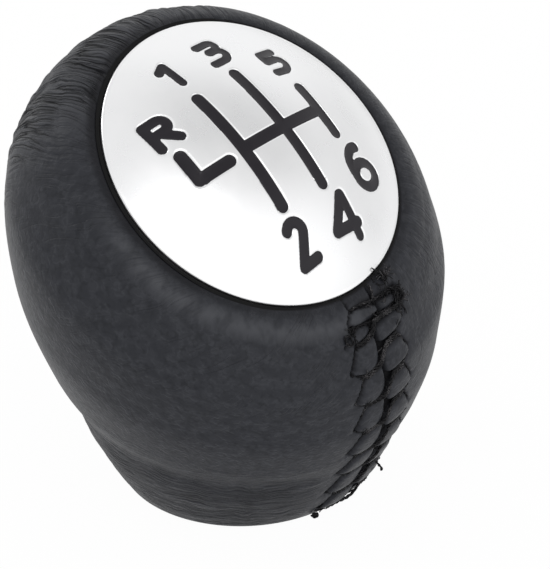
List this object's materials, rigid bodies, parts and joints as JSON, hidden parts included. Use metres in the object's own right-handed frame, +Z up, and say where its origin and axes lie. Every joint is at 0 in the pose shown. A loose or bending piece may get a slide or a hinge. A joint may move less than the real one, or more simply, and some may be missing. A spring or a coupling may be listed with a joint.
{
  "type": "gear shift knob",
  "caption": "Leather-wrapped gear shift knob with a tilted domed metal badge, an enamelled shift pattern, a laced rear seam and a blind socket for the lever.",
  "frame": {"origin": "middle of the lever socket's mouth, in the plane of the base ring that the knob stands on", "axes": "+Z up the lever, +Y to the front of the car, +X to the right; the badge leans back towards -Y"},
  "size_m": [0.0556, 0.0512, 0.056],
  "materials": {
    "leather": "fine grained, satin, charcoal black",
    "core_plastic": "moulded, matte",
    "bush_plastic": "moulded nylon, natural",
    "ring_plastic": "moulded, fine satin",
    "bezel_plastic": "gloss black",
    "badge_metal": "satin, fine grain",
    "enamel": "gloss black, pooled in the grooves",
    "thread": "waxed twisted thread, black",
    "film": "adhesive film"
  },
  "bodies": {
    "root": {"leather_cover": "leather", "knob_core": "core_plastic", "lever_bush": "bush_plastic", "base_ring": "ring_plastic", "badge_carrier": "bezel_plastic", "adhesive_film": "film", "badge_disc": "badge_metal", "gate_enamel": "enamel", "reverse_leg_enamel": "enamel", "numeral_1_enamel": "enamel", "numeral_2_enamel": "enamel", "numeral_3_enamel": "enamel", "numeral_4_enamel": "enamel", "numeral_5_enamel": "enamel", "numeral_6_enamel": "enamel", "letter_r_enamel": "enamel", "lacing_thread": "thread", "edge_stitch_left": "thread", "edge_stitch_right": "thread"}
  },
  "joints": []
}
